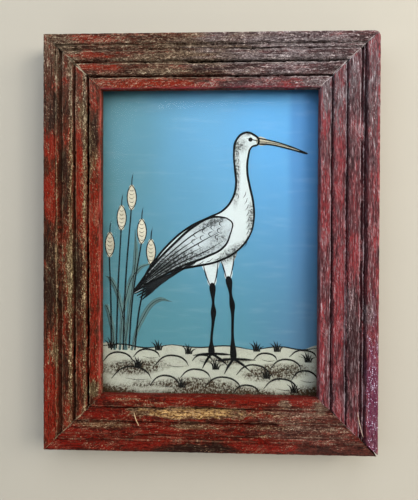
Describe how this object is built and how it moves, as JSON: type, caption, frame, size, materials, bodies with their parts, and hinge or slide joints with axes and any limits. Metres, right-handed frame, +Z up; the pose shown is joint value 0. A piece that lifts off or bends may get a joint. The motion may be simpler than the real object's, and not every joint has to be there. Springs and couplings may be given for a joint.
{
  "type": "framed reverse-glass picture",
  "caption": "Small upright picture painted on the back of its glass, in a stepped, mitred wooden frame with worn red paint, made to hang on a wall.",
  "frame": {"origin": "middle of the top rail's flat back, where the frame lies against the wall", "axes": "+Z up along the frame's height, -Y to the front, where the picture faces, +Y into the wall, +X to the right as seen from the front"},
  "size_m": [0.1866, 0.02, 0.2339],
  "materials": {
    "worn_painted_wood": "old red paint worn through to grey-brown weathered wood",
    "pane_glass": "clear, glossy",
    "picture_paint": "enamel paint on the back of the glass",
    "backing_board": "plain thin board, unfinished",
    "nail_steel": "dull, spotted with rust",
    "hanger_brass": "tarnished brass-plated strip"
  },
  "bodies": {
    "root": {"rail_top": "worn_painted_wood", "rail_bottom": "worn_painted_wood", "rail_left": "worn_painted_wood", "rail_right": "worn_painted_wood", "glass_pane": "pane_glass", "backing_board": "backing_board", "board_nail_top_1": "nail_steel", "board_nail_top_2": "nail_steel", "board_nail_bottom_1": "nail_steel", "board_nail_bottom_2": "nail_steel", "board_nail_left_1": "nail_steel", "board_nail_left_2": "nail_steel", "board_nail_right_1": "nail_steel", "board_nail_right_2": "nail_steel", "hanger_strip": "hanger_brass", "hanger_tack_left": "nail_steel", "hanger_tack_right": "nail_steel"}
  },
  "joints": []
}
